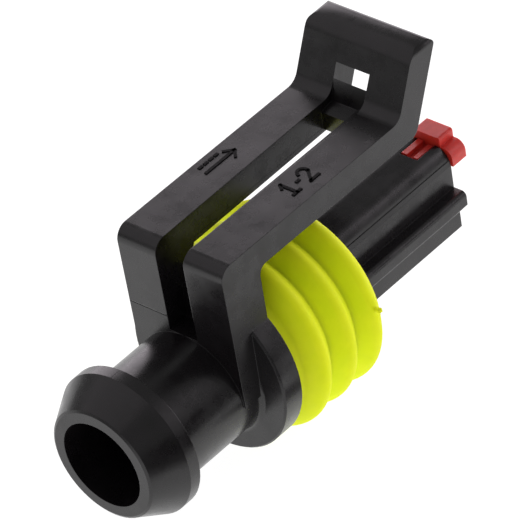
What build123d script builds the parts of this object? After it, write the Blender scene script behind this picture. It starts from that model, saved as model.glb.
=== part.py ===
from build123d import *
import math
import os

# Sealed plug housing for one round cable, with a rear-hinged latch over its top.
# The cable's axis runs along +X from the cable face at x = 0 to the mating end.
# The flange, the seal's barrel and the seal share an axis a little above it.
# The latch is on the +Z side. All sizes are in millimetres.

# Cable end
cable_bore_radius = 2.6
cable_bore_depth = 12.0
cable_bore_shoulder = 1.0
face_wall = 0.73
neck_wall = 0.9
neck_length = 6.04
bead_rise = 0.9
bead_flank_length = 1.95
bead_length = 2.7
barrel_lift = 0.46
barrel_wall = 1.71
flange_rise = 0.92
flange_thickness = 1.37
turned_edge_bevel = 0.1
neck_root_round = 0.3

# Interface seal and the barrel that carries it
barrel_overhang = 0.25
seal_seat_clearance = 0.02
seal_length = 6.64
seal_wall = 0.51
seal_rib_height = 1.1
seal_rib_count = 3
seal_rib_pitch = 2.12
seal_rib_fall = 1.17
seal_first_peak = 1.66
seal_crest_round = 0.47
seal_nub_size = 0.22
seal_nub_length = 0.8
seal_nub_angle = 11.0

# Terminal cavity and the flexible finger that holds the terminal
cavity_width = 2.2
cavity_rise = 1.1
cavity_drop = 1.6
front_wall = 0.8
pin_opening_width = 1.9
pin_opening_height = 1.2
finger_width = 1.1
finger_thickness = 0.4
finger_gap = 0.25
finger_length = 4.8
finger_hook = 0.45
finger_hook_length = 1.9

# Slot that the secondary lock slides in
lock_slot_width = 1.9
lock_slot_height = 0.8
lock_slot_depth = 7.6
notch_width = 1.24
notch_length = 1.55

# Nose: the bar that enters the mating housing
nose_length = 10.6
nose_width = 3.2
nose_roof = 0.55
nose_floor = 0.7
nose_crown_round = 0.94
nose_ledge = 0.06
nose_ledge_drop = 0.03
nose_edge_round = 0.1
rail_reach = 2.44
rail_top = 0.38
rail_side = 0.88
rail_slope = 0.74
rail_edge_round = 0.3
keel_width = 3.6

# Latch: two legs, two arms, a leaning plate and its catch bar
latch_width = 7.2
leg_front_gap = 0.02
leg_front_lean = 0.04
leg_rear_lean = 0.22
leg_thickness = 2.83
arm_clearance = 1.93
arm_thickness = 1.62
arm_length = 14.73
bend_outer_round = 0.8
bend_inner_round = 0.55
plate_lean = 26.4
plate_thickness = 1.78
plate_rise = 3.34
plate_foot_round = 0.9
plate_heel_round = 0.7
plate_crown_round = 1.0
plate_lip_round = 0.3
plate_corner_round = 0.28
slot_rear_width = 1.84
slot_front_width = 2.25
window_width = 2.3
window_rise = 1.69
catch_rise = 0.88
catch_nose_length = 1.0
catch_nose_drop = 1.6
catch_front_slope = 0.15
catch_shelf_setback = 0.9
catch_shelf_length = 0.95
catch_shelf_drop = 0.34
catch_shelf_slope = 0.15

# Secondary lock
lock_clearance = 0.06
lock_head_length = 1.15
lock_head_overlap = 0.1
lock_head_round = 0.58
lock_cheek_overlap = 0.12
lock_block_width = 1.86
lock_block_rise = 0.52
lock_block_round = 0.15
lock_blade_gap = 2.7
lock_rib_gap = 0.45
lock_rib_width = 0.34
lock_rib_height = 0.3

# Radii that follow from the bore and the walls round it
face_radius = cable_bore_radius + face_wall
neck_radius = cable_bore_radius + neck_wall
bead_radius = neck_radius + bead_rise
barrel_radius = cable_bore_radius + barrel_wall
flange_radius = barrel_radius + flange_rise
seal_bore_radius = barrel_radius + seal_seat_clearance
seal_valley_radius = seal_bore_radius + seal_wall
seal_apex_radius = seal_valley_radius + seal_rib_height

# Stations along the axis that several pieces share
flange_rear = bead_length + neck_length
flange_front = flange_rear + flange_thickness
barrel_front = flange_front + seal_length + barrel_overhang
nose_front = barrel_front + nose_length
cavity_front = nose_front - front_wall
lock_slot_rear = nose_front - lock_slot_depth
leg_front = flange_front - leg_front_gap - leg_front_lean
leg_rear = leg_front - leg_thickness
plate_foot = leg_rear + arm_length

# Heights above the cable's axis that several pieces share
lock_slot_bottom = cavity_rise + finger_thickness
lock_slot_top = lock_slot_bottom + lock_slot_height
nose_rise = lock_slot_top + nose_roof
nose_ledge_height = nose_rise - nose_crown_round - nose_ledge_drop
arm_bottom = barrel_lift + flange_radius + arm_clearance
arm_top = arm_bottom + arm_thickness
plate_top = arm_top + plate_rise


def side_face(*points):
    """A flat face in the X-Z plane from (x, z) points."""
    return Plane.XZ * make_face(Polyline(*points, close=True))


def cross_face(*points):
    """A flat face in the Y-Z plane from (y, z) points."""
    return Plane.YZ * make_face(Polyline(*points, close=True))


def nearest_corners(face, points):
    """The corners of a flat face that lie nearest to the given points."""
    return [face.vertices().sort_by_distance(Vector(*point))[0] for point in points]


def round_corners(face, points, radius):
    """Round the corners of a flat face that lie nearest to the given points."""
    return fillet(nearest_corners(face, points), radius)


def block(x_range, y_range, z_range):
    """An upright block between two corners."""
    sizes = [high - low for low, high in (x_range, y_range, z_range)]
    corner = (x_range[0], y_range[0], z_range[0])
    return Pos(*corner) * Box(*sizes, align=(Align.MIN, Align.MIN, Align.MIN))


def along_axis(face, start, length):
    """Extrude a cross face along +X from a station on the axis."""
    return Pos(start, 0, 0) * extrude(face, length, dir=(1, 0, 0))


def across(face, width):
    """Extrude a side face to both sides of the middle plane."""
    return extrude(face, width / 2, both=True)


def cable_end():
    """Bead and neck, turned about the cable's axis."""
    root_radius = neck_radius + 2 * neck_root_round
    inside_flange = flange_rear + flange_thickness / 2
    outline = make_face(Polyline(
        (0, 0),
        (0, face_radius),
        (bead_flank_length, bead_radius),
        (bead_length, bead_radius),
        (bead_length, neck_radius),
        (flange_rear, neck_radius),
        (flange_rear, root_radius),
        (inside_flange, root_radius),
        (inside_flange, 0),
        close=True,
    ))
    outline = chamfer(nearest_corners(outline, [(0, face_radius)]), turned_edge_bevel)
    outline = round_corners(outline, [(flange_rear, neck_radius)], neck_root_round)
    return revolve(outline, Axis.X)


def seal_end():
    """Flange and seal barrel, turned about the raised axis."""
    outline = make_face(Polyline(
        (flange_rear, 0),
        (flange_rear, flange_radius),
        (flange_front, flange_radius),
        (flange_front, barrel_radius),
        (barrel_front, barrel_radius),
        (barrel_front, 0),
        close=True,
    ))
    outline = chamfer(nearest_corners(outline, [(flange_rear, flange_radius)]), turned_edge_bevel)
    return Pos(0, 0, barrel_lift) * revolve(outline, Axis.X)


def nose_outline():
    """Section of the nose: round top, ledge, side rail and keel."""
    half_nose = nose_width / 2
    half_top = half_nose - nose_ledge
    half_keel = keel_width / 2
    rail_foot = rail_top - rail_side
    rail_root = rail_foot - rail_slope
    nose_bottom = -cavity_drop - nose_floor
    right = [
        (half_top, nose_rise),
        (half_top, nose_ledge_height),
        (half_nose, nose_ledge_height),
        (half_nose, rail_top),
        (rail_reach, rail_top),
        (rail_reach, rail_foot),
        (half_keel, rail_root),
        (half_keel, nose_bottom),
    ]
    left = [(-y, z) for y, z in reversed(right)]
    section = cross_face(*right, *left)
    crown = [(0, side * half_top, nose_rise) for side in (1, -1)]
    section = round_corners(section, crown, nose_crown_round)
    rail = [(0, side * rail_reach, rail_top) for side in (1, -1)]
    section = round_corners(section, rail, rail_edge_round)
    soft = [(0, side * y, z) for side in (1, -1) for y, z in right[5:]]
    return round_corners(section, soft, nose_edge_round)


def latch_side():
    """Side view of the latch, one closed outline from the neck to the plate top."""
    lean = math.tan(math.radians(plate_lean))
    reach = plate_thickness / math.cos(math.radians(plate_lean))
    crown_x = plate_foot + lean * plate_rise
    heel_x = plate_foot + reach - lean * arm_thickness
    outline = side_face(
        (leg_rear + leg_rear_lean, 0),
        (leg_rear, arm_top),
        (plate_foot, arm_top),
        (crown_x, plate_top),
        (crown_x + reach, plate_top),
        (heel_x, arm_bottom),
        (leg_front, arm_bottom),
        (leg_front + leg_front_lean, 0),
    )
    outline = round_corners(outline, [(leg_rear, 0, arm_top)], bend_outer_round)
    outline = round_corners(outline, [(plate_foot, 0, arm_top)], plate_foot_round)
    outline = round_corners(outline, [(crown_x, 0, plate_top)], plate_crown_round)
    outline = round_corners(outline, [(crown_x + reach, 0, plate_top)], plate_lip_round)
    outline = round_corners(outline, [(heel_x, 0, arm_bottom)], plate_heel_round)
    return round_corners(outline, [(leg_front, 0, arm_bottom)], bend_inner_round)


def latch_slot():
    """The gap between the legs and arms, which widens and ends in the window."""
    lean = math.radians(plate_lean)
    step_x, step_z = math.cos(lean), -math.sin(lean)
    window_x = plate_foot + math.tan(lean) * window_rise
    window_top = arm_top + window_rise
    through = 2 * plate_thickness
    rear = leg_rear - leg_thickness
    front = window_x + through * step_x
    side = side_face(
        (rear, neck_radius),
        (rear, window_top),
        (window_x - step_x, window_top - step_z),
        (front, window_top + through * step_z),
        (front, neck_radius),
    )
    right = [
        (rear, slot_rear_width / 2),
        (plate_foot, slot_front_width / 2),
        (window_x, window_width / 2),
        (front, window_width / 2),
    ]
    left = [(x, -y) for x, y in reversed(right)]
    plan = make_face(Polyline(*right, *left, close=True))
    return across(side, latch_width) & extrude(plan, plate_top)


def catch_bar():
    """The bar below the window that a tooth of the mating housing snaps behind."""
    lean = math.tan(math.radians(plate_lean))
    top_x = plate_foot + lean * catch_rise
    top = arm_top + catch_rise
    shelf_rear = plate_foot - catch_shelf_setback
    shelf = arm_top - catch_shelf_drop
    bar_front = top_x + catch_nose_length
    side = side_face(
        (shelf_rear, arm_bottom),
        (shelf_rear, shelf - catch_shelf_slope),
        (shelf_rear + catch_shelf_length, shelf),
        (top_x, top),
        (bar_front, top - catch_nose_drop),
        (bar_front - catch_front_slope, arm_bottom),
    )
    return across(side, window_width)


def latch():
    """Legs, arms and plate in one bent strip, split by the slot."""
    strip = across(latch_side(), latch_width)
    half = latch_width / 2
    front_view = cross_face((-half, 0), (-half, plate_top), (half, plate_top), (half, 0))
    tips = [(0, side * half, plate_top) for side in (1, -1)]
    front_view = round_corners(front_view, tips, plate_corner_round)
    strip = strip & along_axis(front_view, 0, nose_front)
    return strip - latch_slot() + catch_bar()


def holding_finger():
    """The finger inside the nose that snaps behind the terminal."""
    tip = lock_slot_rear + finger_length
    side = side_face(
        (lock_slot_rear, cavity_rise),
        (tip - finger_hook_length, cavity_rise),
        (tip, cavity_rise - finger_hook),
        (tip, lock_slot_bottom),
        (lock_slot_rear, lock_slot_bottom),
    )
    return across(side, finger_width)


def finger_clearance():
    """The opening in the cavity roof that frees the finger on three sides."""
    half = finger_width / 2 + finger_gap
    tip = lock_slot_rear + finger_length + finger_gap
    return block((lock_slot_rear, tip), (-half, half), (cavity_rise, lock_slot_bottom))


def hollow_inside():
    """Cable bore, its shoulder, the terminal cavity and the opening for the pin."""
    upward = (Align.CENTER, Align.CENTER, Align.MIN)
    half = cavity_width / 2
    bore = Cylinder(cable_bore_radius, cable_bore_depth, align=upward)
    shoulder = Cone(cable_bore_radius, half, cable_bore_shoulder, align=upward)
    turned = Rotation(0, 90, 0) * (bore + Pos(0, 0, cable_bore_depth) * shoulder)
    cavity = block((cable_bore_depth, cavity_front), (-half, half), (-cavity_drop, cavity_rise))
    middle = (cavity_rise - cavity_drop) / 2
    half_pin = pin_opening_width / 2
    pin_rise = pin_opening_height / 2
    pin = block((cavity_front, nose_front), (-half_pin, half_pin), (middle - pin_rise, middle + pin_rise))
    return turned + cavity + pin


def lock_slot():
    """The slot for the lock's blade, open at the front and through the notch."""
    half = lock_slot_width / 2
    half_notch = notch_width / 2
    slot = block((lock_slot_rear, nose_front), (-half, half), (lock_slot_bottom, lock_slot_top))
    notch_rear = nose_front - notch_length
    notch = block((notch_rear, nose_front), (-half_notch, half_notch), (lock_slot_top, nose_rise))
    return slot + notch


def housing():
    """The black moulding, in one piece."""
    nose = along_axis(nose_outline(), flange_front, nose_front - flange_front)
    body = cable_end() + seal_end() + nose + latch()
    body = body - hollow_inside() - lock_slot() - finger_clearance()
    return body + holding_finger()


def seal_rib(peak, end):
    """Section of one rib with a round crest, cut off square where the seal ends."""
    front = peak + seal_rib_fall
    rear = front - seal_rib_pitch
    rib = make_face(Polyline(
        (rear, seal_bore_radius),
        (rear, seal_valley_radius),
        (peak, seal_apex_radius),
        (front, seal_valley_radius),
        (front, seal_bore_radius),
        close=True,
    ))
    rib = round_corners(rib, [(peak, seal_apex_radius)], seal_crest_round)
    limit = make_face(Polyline(
        (rear, 0),
        (rear, seal_apex_radius),
        (end, seal_apex_radius),
        (end, 0),
        close=True,
    ))
    return rib & limit


def interface_seal():
    """The ribbed ring seal on the barrel, with its small moulding nub."""
    start = flange_front + seal_seat_clearance
    end = flange_front + seal_length
    section = make_face(Polyline(
        (start, seal_bore_radius),
        (start, seal_valley_radius),
        (end, seal_valley_radius),
        (end, seal_bore_radius),
        close=True,
    ))
    for number in range(seal_rib_count):
        peak = flange_front + seal_first_peak + seal_rib_pitch * number
        section += seal_rib(peak, end)
    ring = revolve(section, Axis.X)
    crest_radius = ring.bounding_box().max.Z
    nub = Pos(peak, -crest_radius, 0) * Box(seal_nub_size, seal_nub_length, seal_nub_size)
    return Pos(0, 0, barrel_lift) * (ring + Rotation(-seal_nub_angle, 0, 0) * nub)


def lock_head():
    """The head that covers the top of the nose front, with a block to pull it by."""
    half = nose_width / 2 + lock_head_overlap
    half_block = lock_block_width / 2
    head_top = nose_rise - lock_clearance
    block_top = nose_rise + lock_block_rise
    cheek_foot = nose_ledge_height - lock_cheek_overlap
    cheeks = cross_face((-half, cheek_foot), (-half, head_top), (half, head_top), (half, cheek_foot))
    crown = [(0, side * half, head_top) for side in (1, -1)]
    cheeks = round_corners(cheeks, crown, lock_head_round)
    pull = cross_face(
        (-half_block, cheek_foot),
        (-half_block, block_top),
        (half_block, block_top),
        (half_block, cheek_foot),
    )
    pull = round_corners(pull, [(0, side * half_block, block_top) for side in (1, -1)], lock_block_round)
    start = nose_front + lock_clearance
    return along_axis(cheeks, start, lock_head_length) + along_axis(pull, start, lock_head_length)


def lock_blade():
    """The blade that blocks the finger, with two ribs that show in the notch."""
    half = lock_slot_width / 2 - lock_clearance
    bottom = lock_slot_bottom + lock_clearance
    top = lock_slot_top - lock_clearance
    rear = lock_slot_rear + lock_blade_gap
    joined = nose_front + lock_clearance + lock_head_length / 2
    blade = block((rear, joined), (-half, half), (bottom, top))
    rib_rear = nose_front - notch_length + lock_rib_gap
    rib = side_face(
        (rib_rear, top),
        (rib_rear + lock_rib_height, top + lock_rib_height),
        (joined, top + lock_rib_height),
        (joined, top),
    )
    shift = notch_width / 2 - lock_clearance - lock_rib_width / 2
    ribs = [Pos(0, side * shift, 0) * across(rib, lock_rib_width) for side in (1, -1)]
    return blade + ribs[0] + ribs[1]


def secondary_lock():
    """The red lock, in one piece."""
    return lock_head() + lock_blade()


def write_parts():
    """Write one STEP file for each separate piece."""
    os.makedirs("parts", exist_ok=True)
    pieces = {
        "housing": housing(),
        "interface_seal": interface_seal(),
        "secondary_lock": secondary_lock(),
    }
    for name, piece in pieces.items():
        export_step(piece, f"parts/{name}.step")


write_parts()
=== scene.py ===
import math

import bmesh
import bpy
from mathutils import Matrix, Vector


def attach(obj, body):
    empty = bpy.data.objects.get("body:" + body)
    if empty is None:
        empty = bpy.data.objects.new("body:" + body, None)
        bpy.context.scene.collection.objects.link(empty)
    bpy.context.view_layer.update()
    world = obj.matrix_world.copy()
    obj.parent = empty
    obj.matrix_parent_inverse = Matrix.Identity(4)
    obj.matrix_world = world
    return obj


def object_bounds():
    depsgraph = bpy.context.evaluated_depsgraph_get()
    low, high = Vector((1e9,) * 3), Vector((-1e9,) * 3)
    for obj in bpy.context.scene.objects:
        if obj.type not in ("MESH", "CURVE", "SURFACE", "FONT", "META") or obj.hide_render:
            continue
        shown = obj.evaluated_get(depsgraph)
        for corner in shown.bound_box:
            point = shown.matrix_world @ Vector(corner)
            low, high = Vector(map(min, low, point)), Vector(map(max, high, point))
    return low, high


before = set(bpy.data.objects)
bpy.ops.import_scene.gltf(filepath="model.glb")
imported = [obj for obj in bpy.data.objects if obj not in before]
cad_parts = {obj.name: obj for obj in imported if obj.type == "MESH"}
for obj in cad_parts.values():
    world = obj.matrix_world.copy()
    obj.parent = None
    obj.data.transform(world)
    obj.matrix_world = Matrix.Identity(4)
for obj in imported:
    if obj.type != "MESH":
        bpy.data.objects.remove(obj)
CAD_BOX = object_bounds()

# A sealed plug housing of black plastic with a yellow ring seal and a red lock.
# The scene is in metres, and sizes on the object are written in millimetres times MM. Only the small
# forms and the marks are in plain millimetres, until their meshes are made.
# +X points to the mating end, +Z to the latch and +Y to the left, seen from the cable end.
MM = 0.001

# Camera that matches the photograph's view
CAMERA_PLACE = Vector((-147.671, -165.520, 181.973)) * MM
CAMERA_RIGHT = Vector((0.6369308, -0.7599896, -0.1293639))
CAMERA_UP = Vector((0.5367288, 0.3166994, 0.7820638))
CAMERA_FORWARD = Vector((0.5533908, 0.5675338, -0.6096239))
CAMERA_LENS = 382.81
SENSOR_WIDTH = 36.0
CLIP_START = 0.01
CLIP_END = 10.0

# Studio: a pale glowing floor in a grey room
FLOOR_SIZE = 6.0
ROOM_COLOR = (1.0, 1.0, 1.0, 1.0)
ROOM_STRENGTH = 0.31

# Soft boxes: direction from the object, width, height and brightness of each
BOX_COLOR = (1.0, 0.91, 0.98)
BOX_DISTANCE = 0.40
SOFT_BOXES = {
    "back_box": (Vector((0.72, 0.64, 0.31)), 0.46, 0.25, 2.1),
    "top_box": (Vector((-0.45, 0.42, 0.79)), 0.60, 0.50, 0.32),
    "front_box": (Vector((0.88, -0.40, 0.28)), 0.26, 0.24, 3.1),
}

# Black cards that show only in reflections, as painted shade: they stand in for the dark, shaded floor
# that the glossy faces mirror.
# One stands low on the camera's side, and one lies just above the floor, where the wall of the slot
# mirrors it
SIDE_CARD_DIRECTION = Vector((-0.26, -0.84, -0.20))
SIDE_CARD_DISTANCE = 22 * MM
SIDE_CARD_WIDTH = 32 * MM
SIDE_CARD_HEIGHT = 16 * MM
LOW_CARD_CORNERS = ((11.5 * MM, -12.6 * MM), (33 * MM, -8.6 * MM))
LOW_CARD_LIFT = 0.5 * MM

# Noise, written as (feature size, detail, roughness): most of its values lie between low and high
NOISE_LOW = 0.3
NOISE_HIGH = 0.7
NOISE_ROUGHNESS = 0.5
BEVEL_SAMPLES = 8

# Black plastic; each bump is (feature size, detail, depth)
EDGE_RADIUS = 0.04 * MM
BLACK_SOCKETS = {"IOR": 1.5}
BLACK_COLORS = ((0.0044, 0.0036, 0.0042), (0.0086, 0.0070, 0.0082))
BLACK_TONE = (1.6 * MM, 4.0, 0.6)
BLACK_ROUGHNESS = (0.21, 0.35)
BLACK_PATCHES = (1.1 * MM, 5.0, 0.62)
SINK_BUMP = (3.2 * MM, 1.0, 0.040 * MM)
RIPPLE_BUMP = (1.1 * MM, 2.0, 0.006 * MM)
SKIN_BUMP = (0.10 * MM, 3.0, 0.0016 * MM)

# The parting line in the left leg's rear face
SEAM_HEIGHT = 4.45 * MM
SEAM_FRONT = 7.9 * MM
SEAM_HALF_WIDTH = 0.06 * MM
SEAM_DEPTH = 0.035 * MM

# The plate's top, where the shading goes on as one round from the rear face to the lip
CROWN_REAR = 23.33 * MM
CROWN_MIDDLE = 24.25 * MM
CROWN_FRONT = 24.95 * MM
CROWN_LOW = 11.5 * MM
CROWN_HALF_WIDTH = 3.6 * MM
CROWN_TILT = 0.28
CROWN_END_TILT = 0.20

# The nose's top, where the shading leans to the right
NOSE_TOP_REAR = 17.3 * MM
NOSE_TOP_LOW = 2.1 * MM
NOSE_TOP_HIGH = 3.0 * MM
NOSE_TOP_TILT = 0.34

# Yellow silicone
RIB_SOFTNESS = 0.42 * MM
YELLOW_SOCKETS = {
    "IOR": 1.42,
    "Specular Tint": (1.0, 1.0, 0.45, 1.0),
    "Subsurface Weight": 0.6,
    "Subsurface Scale": 1.3 * MM,
    "Subsurface Radius": (1.0, 1.0, 0.15),
}
YELLOW_COLORS = ((0.79, 0.93, 0.008), (0.86, 0.99, 0.014))
YELLOW_TONE = (1.3 * MM, 4.0, 0.6)
YELLOW_ROUGHNESS = (0.66, 0.80)
YELLOW_PATCHES = (0.6 * MM, 3.0, NOISE_ROUGHNESS)
YELLOW_BUMP = (0.35 * MM, 3.0, 0.004 * MM)

# Red plastic
LOCK_EDGE_RADIUS = 0.028 * MM
RED_SOCKETS = {
    "IOR": 1.5,
    "Subsurface Weight": 0.35,
    "Subsurface Scale": 0.5 * MM,
    "Subsurface Radius": (1.0, 0.25, 0.2),
}
RED_COLORS = ((0.55, 0.026, 0.018), (0.68, 0.040, 0.030))
RED_TONE = (0.5 * MM, 4.0, 0.6)
RED_ROUGHNESS = (0.30, 0.44)
RED_PATCHES = (0.4 * MM, 3.0, NOISE_ROUGHNESS)
RED_BUMP = (0.2 * MM, 3.0, 0.003 * MM)

# Dull skin of the marks, coloured darker than the housing as painted shade along the strokes
MARK_SOCKETS = {"Specular IOR Level": 0.15}
MARK_PAINTED_SHADE_COLORS = ((0.0015, 0.0014, 0.0015), (0.0045, 0.0040, 0.0043))
MARK_TONE = (0.15 * MM, 3.0, NOISE_ROUGHNESS)
MARK_ROUGHNESS = (0.55, 0.75)

# Floor, and the cards of painted shade
FLOOR_SOCKETS = {
    "Roughness": 0.9,
    "Emission Color": (1.0, 1.0, 1.0, 1.0),
    "Emission Strength": 0.96,
}
FLOOR_COLORS = ((0.24625, 0.24625, 0.24625), (0.25, 0.25, 0.25))
FLOOR_TONE = (60 * MM, 3.0, NOISE_ROUGHNESS)
CARD_SOCKETS = {"Roughness": 0.9, "Specular IOR Level": 0.1}
# Painted shade: the cards' black stands in for shaded floor in the reflections
PAINTED_SHADE_CARD_COLORS = ((0.010, 0.010, 0.010), (0.016, 0.016, 0.016))
CARD_TONE = (2 * MM, 3.0, NOISE_ROUGHNESS)

# What a small form belongs to: the body it rides on and the slot for its finish
ON_HOUSING = ("housing", "housing_black")
ON_LOCK = ("secondary_lock", "lock_red")

# The arms, in millimetres: their heights, and the slot's half width as (x, y) at its ends
ARM_BOTTOM = 7.62
ARM_TOP = 9.24
SLOT_REAR = (4.39, 0.92)
SLOT_FRONT = (21.95, 1.125)

# The lips along the arms' inner edges; the face gap keeps two faces out of one plane
LIP_REAR = 9.9
LIP_FRONT = 21.8
LIP_DROP = 0.2
LIP_OVERLAP = 0.1
LIP_TOP_WIDTH = 0.3
LIP_OUTER = 3.4
FACE_GAP = 0.01

# Each lip: side, height of its top and how far its front end stands into the slot
LIPS = {
    "arm_lip_left": (1, ARM_BOTTOM + LIP_OVERLAP, FACE_GAP),
    "arm_lip_right": (-1, ARM_TOP, 0.16),
}

# The wedges on the nose's ledges
NOSE_REAR = 17.0
NOSE_FRONT = 27.58
NOSE_HALF_TOP = 1.545
NOSE_HALF_WIDTH = 1.602
LEDGE_HEIGHT = 1.88
WEDGE_HEIGHT = 0.30
WEDGE_ROOT = 0.25

# The lock's pad and its two ribs, each as its lowest and highest corner
LOCK_PAD = (
    ((26.11, -0.56, 2.20), (27.66, 0.56, 2.58)),
    ((26.25, -0.46, 2.50), (27.60, -0.14, 2.74)),
    ((26.15, 0.18, 2.50), (27.60, 0.55, 2.88)),
)

# Moulded marks on the arm tops
MARK_RISE = 0.05
MARK_ROOT = 0.02
MARK_WIDTH = 0.18
MARK_HEIGHT = 1.15
ARC_STEPS = 10
DIGIT_WIDTH = 0.62
DIGIT_BASE_Y = -2.72
ONE_X = 14.22
ONE_FLAG_INSET = 0.08
ONE_FLAG_DROP = 0.28
ONE_FOOT_INSET = 0.05
TWO_X = 15.68
TWO_BOWL_START = 170
TWO_BOWL_END = -30
DOT_X = 15.27
DOT_HALF_LENGTH = 0.07
ARROW_Y = 2.52
ARROW_REAR_X = 13.35
ARROW_LENGTH = 2.3
ARROW_BARB = 0.42
DOT_ROW_X = 13.55
DOT_ROW_Y = 3.10
DOT_ROW_PITCH = 0.42
DOT_ROW_COUNT = 4


class Shader:
    """A node material that is built up one node at a time."""

    def __init__(self, name, sockets):
        """Start a material, with the numbers and colours that are the same all over it."""
        self.material = bpy.data.materials.new(name)
        self.material.use_nodes = True
        self.tree = self.material.node_tree
        self.surface = next(n for n in self.tree.nodes if n.type == "BSDF_PRINCIPLED")
        self.place = self.add("ShaderNodeTexCoord").outputs["Object"]
        for socket, value in sockets.items():
            self.surface.inputs[socket].default_value = value

    def add(self, kind, **settings):
        """A new node with some settings."""
        node = self.tree.nodes.new(kind)
        for name, value in settings.items():
            setattr(node, name, value)
        return node

    def link(self, source, target):
        """Join a node's output to another node's input."""
        self.tree.links.new(source, target)

    def noise(self, size, detail, roughness=NOISE_ROUGHNESS):
        """Noise whose features are about the given size across."""
        node = self.add("ShaderNodeTexNoise")
        node.inputs["Scale"].default_value = 1.0 / size
        node.inputs["Detail"].default_value = detail
        node.inputs["Roughness"].default_value = roughness
        self.link(self.place, node.inputs["Vector"])
        return node.outputs["Fac"]

    def spread(self, source, low, high, start=NOISE_LOW, end=NOISE_HIGH):
        """Map a source from start to end onto low to high."""
        node = self.add("ShaderNodeMapRange")
        node.inputs["From Min"].default_value = start
        node.inputs["From Max"].default_value = end
        node.inputs["To Min"].default_value = low
        node.inputs["To Max"].default_value = high
        self.link(source, node.inputs["Value"])
        return node.outputs["Result"]

    def math(self, operation, first, second=None):
        """A calculation on one or two sources, either of which may be a plain number."""
        node = self.add("ShaderNodeMath", operation=operation)
        for socket, value in zip(node.inputs, (first, second)):
            if isinstance(value, (int, float)):
                socket.default_value = value
            elif value is not None:
                self.link(value, socket)
        return node.outputs["Value"]

    def product(self, first, *others):
        """All the given sources and numbers multiplied together."""
        for other in others:
            first = self.math("MULTIPLY", first, other)
        return first

    def split(self, source):
        """The X, Y and Z of a place or a normal."""
        node = self.add("ShaderNodeSeparateXYZ")
        self.link(source, node.inputs["Vector"])
        return node.outputs["X"], node.outputs["Y"], node.outputs["Z"]

    def soft_edges(self, radius):
        """A normal that rounds sharp edges."""
        node = self.add("ShaderNodeBevel", samples=BEVEL_SAMPLES)
        node.inputs["Radius"].default_value = radius
        return node.outputs["Normal"]

    def raised(self, normal, height, depth):
        """A normal on which a height source stands up by a depth."""
        node = self.add("ShaderNodeBump")
        node.inputs["Strength"].default_value = 1.0
        node.inputs["Distance"].default_value = depth
        self.link(height, node.inputs["Height"])
        self.link(normal, node.inputs["Normal"])
        return node.outputs["Normal"]

    def bumped(self, normal, bump):
        """A normal with one noise bump, given as (feature size, detail, depth)."""
        size, detail, depth = bump
        return self.raised(normal, self.noise(size, detail), depth)

    def color(self, noise, colors):
        """Let the colour wander between a dark and a light one."""
        node = self.add("ShaderNodeValToRGB")
        stops = zip(node.color_ramp.elements, (NOISE_LOW, NOISE_HIGH), colors)
        for element, position, color in stops:
            element.position = position
            element.color = (*color, 1.0)
        self.link(self.noise(*noise), node.inputs["Fac"])
        self.link(node.outputs["Color"], self.surface.inputs["Base Color"])

    def roughness(self, noise, limits):
        """Let the roughness wander between two limits."""
        self.link(self.spread(self.noise(*noise), *limits), self.surface.inputs["Roughness"])

    def normal(self, source):
        """Give the surface its normal."""
        self.link(source, self.surface.inputs["Normal"])


def seam_height(shader):
    """A fine parting line pressed into the left leg's rear face."""
    x, y, z = shader.split(shader.place)
    away = shader.math("ABSOLUTE", shader.math("SUBTRACT", z, SEAM_HEIGHT))
    line = shader.spread(away, 0.0, 1.0, 0.0, SEAM_HALF_WIDTH)
    in_front = shader.math("GREATER_THAN", x, SEAM_FRONT)
    on_right = shader.math("LESS_THAN", y, 0.0)
    return shader.math("MAXIMUM", line, shader.math("MAXIMUM", in_front, on_right))


def plate_lean(shader, place, up):
    """How far the normal leans along X and Y on the plate's top, where its upward part is up."""
    x, y, z = place
    rising = shader.spread(x, 0.0, CROWN_TILT, CROWN_REAR, CROWN_MIDDLE)
    falling = shader.spread(x, CROWN_TILT, 0.0, CROWN_MIDDLE, CROWN_FRONT)
    on_top = shader.product(shader.math("GREATER_THAN", z, CROWN_LOW), up)
    back = shader.product(shader.math("MINIMUM", rising, falling), on_top, -1.0)
    side = shader.math("DIVIDE", y, CROWN_HALF_WIDTH)
    outward = shader.product(side, side, side, CROWN_END_TILT, on_top)
    return back, outward


def nose_lean(shader, place, up):
    """How far the normal leans along Y on the nose's top, where its upward part is up."""
    x, _, z = place
    past_seal = shader.math("GREATER_THAN", x, NOSE_TOP_REAR)
    over_ledge = shader.math("GREATER_THAN", z, NOSE_TOP_LOW)
    under_arms = shader.math("LESS_THAN", z, NOSE_TOP_HIGH)
    return shader.product(past_seal, over_ledge, under_arms, up, -NOSE_TOP_TILT)


def lean_normal(shader, normal, x, y):
    """Add an X and a Y part to a normal and bring it back to length one."""
    lean = shader.add("ShaderNodeCombineXYZ")
    shader.link(x, lean.inputs["X"])
    shader.link(y, lean.inputs["Y"])
    total = shader.add("ShaderNodeVectorMath", operation="ADD")
    shader.link(normal, total.inputs[0])
    shader.link(lean.outputs["Vector"], total.inputs[1])
    unit = shader.add("ShaderNodeVectorMath", operation="NORMALIZE")
    shader.link(total.outputs["Vector"], unit.inputs[0])
    return unit.outputs["Vector"]


def rounded_tops(shader, normal):
    """Lean the normal on the plate's and the nose's top, so that both read as long rounds."""
    place = shader.split(shader.place)
    up = shader.math("MAXIMUM", shader.split(normal)[2], 0.0)
    back, outward = plate_lean(shader, place, up)
    right = nose_lean(shader, place, up)
    return lean_normal(shader, normal, back, shader.math("ADD", outward, right))


def black_plastic(name, edge_radius):
    """Glossy black moulded plastic with faint sink marks and a fine skin."""
    shader = Shader(name, BLACK_SOCKETS)
    shader.color(BLACK_TONE, BLACK_COLORS)
    shader.roughness(BLACK_PATCHES, BLACK_ROUGHNESS)
    normal = rounded_tops(shader, shader.soft_edges(edge_radius))
    for bump in (SINK_BUMP, RIPPLE_BUMP, SKIN_BUMP):
        normal = shader.bumped(normal, bump)
    shader.normal(shader.raised(normal, seam_height(shader), SEAM_DEPTH))
    return shader.material


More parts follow.
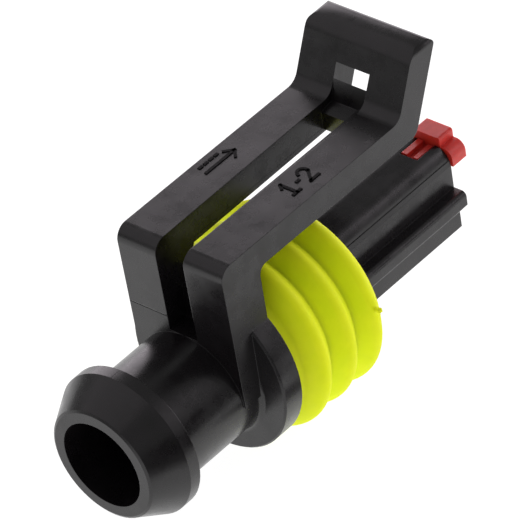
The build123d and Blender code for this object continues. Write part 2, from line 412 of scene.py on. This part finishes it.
def yellow_silicone():
    """Soft, slightly clear silicone with a satin skin."""
    shader = Shader("seal_yellow_silicone", YELLOW_SOCKETS)
    shader.color(YELLOW_TONE, YELLOW_COLORS)
    shader.roughness(YELLOW_PATCHES, YELLOW_ROUGHNESS)
    shader.normal(shader.bumped(shader.soft_edges(RIB_SOFTNESS), YELLOW_BUMP))
    return shader.material


def red_plastic():
    """Red moulded plastic, a little cloudy."""
    shader = Shader("lock_red_plastic", RED_SOCKETS)
    shader.color(RED_TONE, RED_COLORS)
    shader.roughness(RED_PATCHES, RED_ROUGHNESS)
    shader.normal(shader.bumped(shader.soft_edges(LOCK_EDGE_RADIUS), RED_BUMP))
    return shader.material


def mark_painted_shade():
    """The dull skin of a moulded mark, with a darker colour painted on as the shade along its strokes.
    """
    shader = Shader("mark_painted_shade", MARK_SOCKETS)
    shader.color(MARK_TONE, MARK_PAINTED_SHADE_COLORS)
    shader.roughness(MARK_TONE, MARK_ROUGHNESS)
    return shader.material


def pale_floor():
    """A matt pale table that glows a little, like a light table."""
    shader = Shader("floor_pale", FLOOR_SOCKETS)
    shader.color(FLOOR_TONE, FLOOR_COLORS)
    return shader.material


def painted_shade_card():
    """Matt black card with a faint grain, a sheet of painted shade that only reflections show."""
    shader = Shader("painted_shade_card", CARD_SOCKETS)
    shader.color(CARD_TONE, PAINTED_SHADE_CARD_COLORS)
    return shader.material


def dress(node, material):
    """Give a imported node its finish."""
    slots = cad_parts[node].data.materials
    if not slots:
        slots.append(material)
    for index in range(len(slots)):
        slots[index] = material


def add_piece(name, data, material, body, slot):
    """Put a mesh into the scene as a piece that rides on a body."""
    data.materials.append(material)
    piece = bpy.data.objects.new(name, data)
    bpy.context.scene.collection.objects.link(piece)
    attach(piece, body)


def make_shell(name, corners, faces, material, body, slot):
    """One small solid, with its corners in millimetres."""
    data = bpy.data.meshes.new(name)
    data.from_pydata([Vector(corner) * MM for corner in corners], [], faces)
    add_piece(name, data, material, body, slot)


def prism_faces(count):
    """Faces of a prism that has the given number of corners at each end."""
    following = [(i + 1) % count for i in range(count)]
    sides = [(i, j, j + count, i + count) for i, j in enumerate(following)]
    return [*sides, tuple(reversed(range(count))), tuple(range(count, 2 * count))]


def make_bar(name, side, rings, material):
    """A closed bar on the housing's left between two rings of corners, or on its right if side is -1."""
    corners = [(x, side * y, z) for ring in rings for x, y, z in ring]
    faces = prism_faces(len(rings[0]))
    if side < 0:
        faces = [tuple(reversed(face)) for face in faces]
    make_shell(name, corners, faces, material, *ON_HOUSING)


def lip_ring(x, growth, top):
    """Corners of a lip at x, whose inner face stands out from the slot's wall by growth."""
    taper = (SLOT_FRONT[1] - SLOT_REAR[1]) / (SLOT_FRONT[0] - SLOT_REAR[0])
    wall = SLOT_REAR[1] + taper * (x - SLOT_REAR[0])
    return (
        (x, wall - growth, top),
        (x, wall - growth, ARM_BOTTOM - LIP_DROP),
        (x, LIP_OUTER, ARM_BOTTOM),
        (x, wall + LIP_TOP_WIDTH, top - FACE_GAP),
    )


def make_arm_lips(material):
    """A lip along each arm's inner edge; the right one also thickens its arm towards the front."""
    for name, (side, top, front_growth) in LIPS.items():
        rings = (lip_ring(LIP_REAR, FACE_GAP, top), lip_ring(LIP_FRONT, front_growth, top))
        make_bar(name, side, rings, material)


def wedge_ring(x):
    """Corners of a wedge on the nose's ledge at x."""
    return (
        (x, NOSE_HALF_TOP, LEDGE_HEIGHT + WEDGE_HEIGHT),
        (x, NOSE_HALF_TOP - WEDGE_ROOT, LEDGE_HEIGHT),
        (x, NOSE_HALF_WIDTH, LEDGE_HEIGHT),
    )


def make_nose_blends(material):
    """A wedge on each side of the nose, which eases the ledge under its round top."""
    rings = (wedge_ring(NOSE_REAR), wedge_ring(NOSE_FRONT))
    for name, side in (("nose_blend_left", 1), ("nose_blend_right", -1)):
        make_bar(name, side, rings, material)


def make_lock_pad(material):
    """The lock's pad with two ribs, which fills the notch up to just under the nose's top."""
    corners, faces = [], []
    for (x0, y0, z0), (x1, y1, z1) in LOCK_PAD:
        first = len(corners)
        ring = ((x0, y0), (x1, y0), (x1, y1), (x0, y1))
        corners += [(x, y, z) for z in (z0, z1) for x, y in ring]
        faces += [tuple(first + i for i in face) for face in prism_faces(len(ring))]
    make_shell("lock_pad", corners, faces, material, *ON_LOCK)


def stroke_outline(points):
    """The two sides of a stroke along points, with square joints and ends."""
    half = MARK_WIDTH * MM / 2
    last = len(points) - 1
    left, right = [], []
    for index, point in enumerate(points):
        along = (points[min(index + 1, last)] - points[max(index - 1, 0)]).normalized()
        across = Vector((-along.y, along.x)) * half
        reach = {0: -half, last: half}.get(index, 0.0)
        left.append(point + across + along * reach)
        right.append(point - across + along * reach)
    return left, right


def add_stroke(mesh, points):
    """Add one raised stroke, a closed prism along (x, y) points, to a mesh."""
    low = (ARM_TOP - MARK_ROOT) * MM
    high = (ARM_TOP + MARK_RISE) * MM
    left, right = stroke_outline([Vector(point) * MM for point in points])
    rings = []
    for a, b in zip(left, right):
        corners = ((a, low), (a, high), (b, high), (b, low))
        rings.append([mesh.verts.new((*place, z)) for place, z in corners])
    for ring, following in zip(rings, rings[1:]):
        for i in range(len(ring)):
            j = (i + 1) % len(ring)
            mesh.faces.new((ring[i], ring[j], following[j], following[i]))
    mesh.faces.new(rings[0])
    mesh.faces.new(rings[-1])


def arc(center, radius, start, end):
    """Points along an arc, with angles in degrees."""
    steps = [start + (end - start) * i / ARC_STEPS for i in range(ARC_STEPS + 1)]
    turns = [(math.cos(math.radians(step)), math.sin(math.radians(step))) for step in steps]
    return [(center[0] + radius * x, center[1] + radius * y) for x, y in turns]


def digit_one(x, y):
    """Strokes of a 1 whose foot is at (x, y)."""
    middle = x + DIGIT_WIDTH / 2
    top = y + MARK_HEIGHT
    return [
        [(x + ONE_FLAG_INSET, top - ONE_FLAG_DROP), (middle, top)],
        [(middle, top), (middle, y)],
        [(x + ONE_FOOT_INSET, y), (x + DIGIT_WIDTH - ONE_FOOT_INSET, y)],
    ]


def digit_two(x, y):
    """Strokes of a 2 whose foot is at (x, y)."""
    radius = DIGIT_WIDTH / 2
    bowl = arc((x + radius, y + MARK_HEIGHT - radius), radius, TWO_BOWL_START, TWO_BOWL_END)
    return [bowl, [bowl[-1], (x, y)], [(x, y), (x + DIGIT_WIDTH, y)]]


def dot(x, y):
    """A short stroke that reads as a dot."""
    return [(x - DOT_HALF_LENGTH, y), (x + DOT_HALF_LENGTH, y)]


def arrow():
    """Strokes of an arrow that points to the mating end."""
    tip = (ARROW_REAR_X + ARROW_LENGTH, ARROW_Y)
    barbs = [(tip[0] - ARROW_BARB, ARROW_Y + side * ARROW_BARB) for side in (1, -1)]
    return [[(ARROW_REAR_X, ARROW_Y), tip], [barbs[0], tip], [barbs[1], tip]]


def make_mark(name, strokes, material):
    """One piece of raised strokes on an arm top."""
    mesh = bmesh.new()
    for points in strokes:
        add_stroke(mesh, points)
    bmesh.ops.recalc_face_normals(mesh, faces=mesh.faces)
    data = bpy.data.meshes.new(name)
    mesh.to_mesh(data)
    mesh.free()
    add_piece(name, data, material, *ON_HOUSING)


def make_marks():
    """A plain 1 and 2 on the right arm, and an arrow with a row of dots on the left."""
    # The marks' darker colour is painted shade along the strokes
    material = mark_painted_shade()
    digits = digit_one(ONE_X, DIGIT_BASE_Y) + digit_two(TWO_X, DIGIT_BASE_Y)
    between = dot(DOT_X, DIGIT_BASE_Y + MARK_HEIGHT / 2)
    make_mark("arm_digits", [*digits, between], material)
    dots = [dot(DOT_ROW_X + DOT_ROW_PITCH * i, DOT_ROW_Y) for i in range(DOT_ROW_COUNT)]
    make_mark("arm_arrow", [*arrow(), *dots], material)


def flat_thing(name, low, high, material):
    """A flat rectangle that faces up, between two (x, y) corners."""
    (x0, y0), (x1, y1) = low, high
    data = bpy.data.meshes.new(name)
    data.from_pydata([(x0, y0, 0), (x1, y0, 0), (x1, y1, 0), (x0, y1, 0)], [], [(0, 1, 2, 3)])
    data.materials.append(material)
    return bpy.data.objects.new(name, data)


def make_floor():
    """The plain floor that the object rests on."""
    half = FLOOR_SIZE / 2
    floor = flat_thing("floor", (-half, -half), (half, half), pale_floor())
    floor.location.z = CAD_BOX[0].z
    bpy.context.scene.collection.objects.link(floor)


def aim(thing, direction, distance):
    """Place a thing away from the object's middle, so that it stands square to the object."""
    away = direction.normalized()
    thing.location = (CAD_BOX[0] + CAD_BOX[1]) / 2 + away * distance
    thing.rotation_mode = "QUATERNION"
    thing.rotation_quaternion = away.to_track_quat("Z", "Y")
    bpy.context.scene.collection.objects.link(thing)


def soft_box(name, direction, width, height, brightness):
    """A flat area light that faces the object."""
    light = bpy.data.lights.new(name, "AREA")
    light.shape = "RECTANGLE"
    light.color = BOX_COLOR
    light.size = width
    light.size_y = height
    light.energy = brightness * math.pi * width * height
    aim(bpy.data.objects.new(name, light), direction, BOX_DISTANCE)


def stage_card(card):
    """Let a card show only in reflections."""
    card.visible_camera = False
    card.visible_diffuse = False
    card.visible_shadow = False


def make_painted_shade_cards():
    """The two black cards of painted shade, which darken what the glossy faces on the camera's side
    reflect.
    """
    material = painted_shade_card()
    x, y = SIDE_CARD_WIDTH / 2, SIDE_CARD_HEIGHT / 2
    # Both cards are painted shade, seen only in reflections of the glossy faces
    side_painted_shade_card = flat_thing("side_painted_shade_card", (-x, -y), (x, y), material)
    aim(side_painted_shade_card, SIDE_CARD_DIRECTION, SIDE_CARD_DISTANCE)
    stage_card(side_painted_shade_card)
    low_painted_shade_card = flat_thing("low_painted_shade_card", *LOW_CARD_CORNERS, material)
    low_painted_shade_card.location.z = CAD_BOX[0].z + LOW_CARD_LIFT
    bpy.context.scene.collection.objects.link(low_painted_shade_card)
    stage_card(low_painted_shade_card)


def light_room():
    """A dim grey room with soft boxes."""
    world = bpy.data.worlds.new("room")
    world.use_nodes = True
    background = next(n for n in world.node_tree.nodes if n.type == "BACKGROUND")
    background.inputs["Color"].default_value = ROOM_COLOR
    background.inputs["Strength"].default_value = ROOM_STRENGTH
    bpy.context.scene.world = world
    for name, settings in SOFT_BOXES.items():
        soft_box(name, *settings)
    bpy.context.scene.view_settings.view_transform = "Standard"


def make_camera():
    """The camera at the photograph's viewing angle."""
    data = bpy.data.cameras.new("camera")
    data.lens = CAMERA_LENS
    data.sensor_width = SENSOR_WIDTH
    data.clip_start = CLIP_START
    data.clip_end = CLIP_END
    camera = bpy.data.objects.new("camera", data)
    turn = Matrix((CAMERA_RIGHT, CAMERA_UP, -CAMERA_FORWARD)).transposed()
    camera.matrix_world = Matrix.LocRotScale(CAMERA_PLACE, turn.to_quaternion(), None)
    bpy.context.scene.collection.objects.link(camera)
    bpy.context.scene.camera = camera


make_camera()
light_room()
make_painted_shade_cards()
make_floor()
red = red_plastic()
black = black_plastic("housing_black_plastic", EDGE_RADIUS)

# The small black forms keep sharp edges, so that no line shows where they join the housing
black_skin = black_plastic("housing_black_skin", 0.0)

dress("housing", black)
dress("interface_seal", yellow_silicone())
dress("secondary_lock", red)

make_arm_lips(black_skin)
make_nose_blends(black_skin)
make_lock_pad(red)
make_marks()
